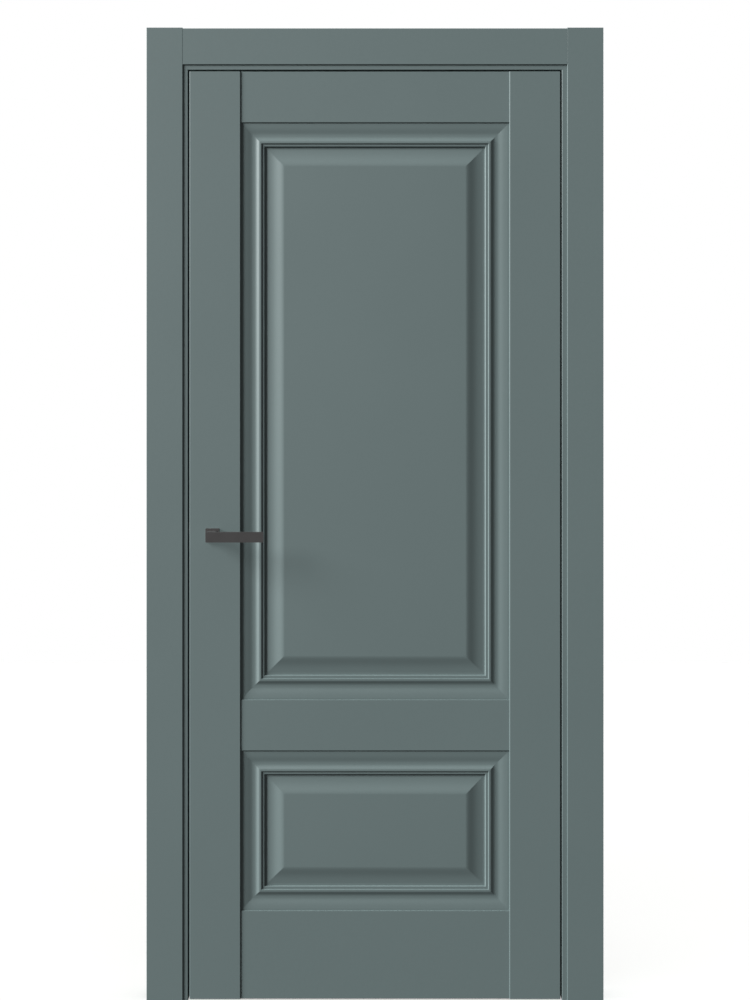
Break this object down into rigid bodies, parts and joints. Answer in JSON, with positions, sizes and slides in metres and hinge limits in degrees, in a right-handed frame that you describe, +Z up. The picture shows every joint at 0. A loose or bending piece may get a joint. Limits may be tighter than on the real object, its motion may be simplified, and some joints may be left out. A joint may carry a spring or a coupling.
{
  "type": "panelled door set",
  "caption": "Interior door set: a painted framed leaf with raised panels and mitred mouldings, hung on concealed hinges in a rebated frame with flat architraves and lever handles",
  "frame": {"origin": "On the floor, in the middle of the leaf's width and thickness", "axes": "+X to the hinge side, +Y away from the pull side, +Z up"},
  "size_m": [0.985, 0.16, 2.097],
  "materials": {
    "painted_wood": "matt teal-grey paint, no grain showing",
    "raw_wood": "bare beech",
    "seal_rubber": "black rubber",
    "graphite": "satin graphite coating",
    "steel": "brushed steel",
    "zinc": "satin zinc grey"
  },
  "bodies": {
    "frame": {"latch_jamb": "painted_wood", "hinge_jamb": "painted_wood", "head_jamb": "painted_wood", "front_latch_architrave": "painted_wood", "front_hinge_architrave": "painted_wood", "front_head_architrave": "painted_wood", "back_latch_architrave": "painted_wood", "back_hinge_architrave": "painted_wood", "back_head_architrave": "painted_wood", "latch_seal": "seal_rubber", "hinge_seal": "seal_rubber", "head_seal": "seal_rubber", "corner_screws": "zinc", "strike_plate": "steel", "strike_screws": "steel", "upper_hinge_frame_half": "zinc", "lower_hinge_frame_half": "zinc", "hinge_frame_screws": "steel"},
    "leaf": {"lock_stile": "painted_wood", "hinge_stile": "painted_wood", "top_rail": "painted_wood", "middle_rail": "painted_wood", "bottom_rail": "painted_wood", "upper_panel": "painted_wood", "lower_panel": "painted_wood", "upper_front_uprights": "painted_wood", "upper_front_crosspieces": "painted_wood", "upper_back_uprights": "painted_wood", "upper_back_crosspieces": "painted_wood", "lower_front_uprights": "painted_wood", "lower_front_crosspieces": "painted_wood", "lower_back_uprights": "painted_wood", "lower_back_crosspieces": "painted_wood", "rail_dowels": "raw_wood", "upper_hinge_leaf_half": "zinc", "lower_hinge_leaf_half": "zinc", "hinge_leaf_screws": "steel", "latch_case": "zinc", "latch_cover": "zinc", "forend_plate": "steel", "forend_screws": "steel", "latch_spring": "steel", "front_rosette_base": "zinc", "back_rosette_base": "zinc", "base_screws": "steel", "front_rosette": "graphite", "back_rosette": "graphite"},
    "handle": {"front_lever": "graphite", "back_lever": "graphite", "spindle": "steel", "follower": "zinc", "set_screws": "steel"},
    "latch": {"latch_bolt": "steel"},
    "frame_links": {"upper_frame_link": "zinc", "lower_frame_link": "zinc"},
    "leaf_links": {"upper_leaf_link": "zinc", "lower_leaf_link": "zinc"}
  },
  "joints": [
    {"name": "leaf_swing", "type": "hinge", "parent": "frame", "child": "leaf", "pos_m": [0.4015, -0.026, 1.003], "axis": [0, 0, 1], "range_deg": [0, 140]},
    {"name": "lever_turn", "type": "hinge", "parent": "leaf", "child": "handle", "pos_m": [-0.35, 0, 1.003], "axis": [0, 1, 0], "range_deg": [0, 40], "stiffness_Nm_per_rad": 1.5, "springref_deg": -40.11},
    {"name": "latch_slide", "type": "slide", "parent": "leaf", "child": "latch", "axis": [1, 0, 0], "range_m": [0, 0.011], "deforming": ["latch_spring"]},
    {"name": "frame_link_turn", "type": "hinge", "parent": "frame", "child": "frame_links", "pos_m": [0.4015, -0.026, 1.003], "axis": [0, 0, 1], "range_deg": [0, 46.8]},
    {"name": "leaf_link_turn", "type": "hinge", "parent": "frame", "child": "leaf_links", "pos_m": [0.4015, -0.026, 1.003], "axis": [0, 0, 1], "range_deg": [0, 93.5]}
  ],
  "couplings": [
    {"joint": "latch_slide", "follows": "lever_turn", "m_per_rad": 0.01575},
    {"joint": "frame_link_turn", "follows": "leaf_swing", "ratio": 0.33333},
    {"joint": "leaf_link_turn", "follows": "leaf_swing", "ratio": 0.66667}
  ]
}
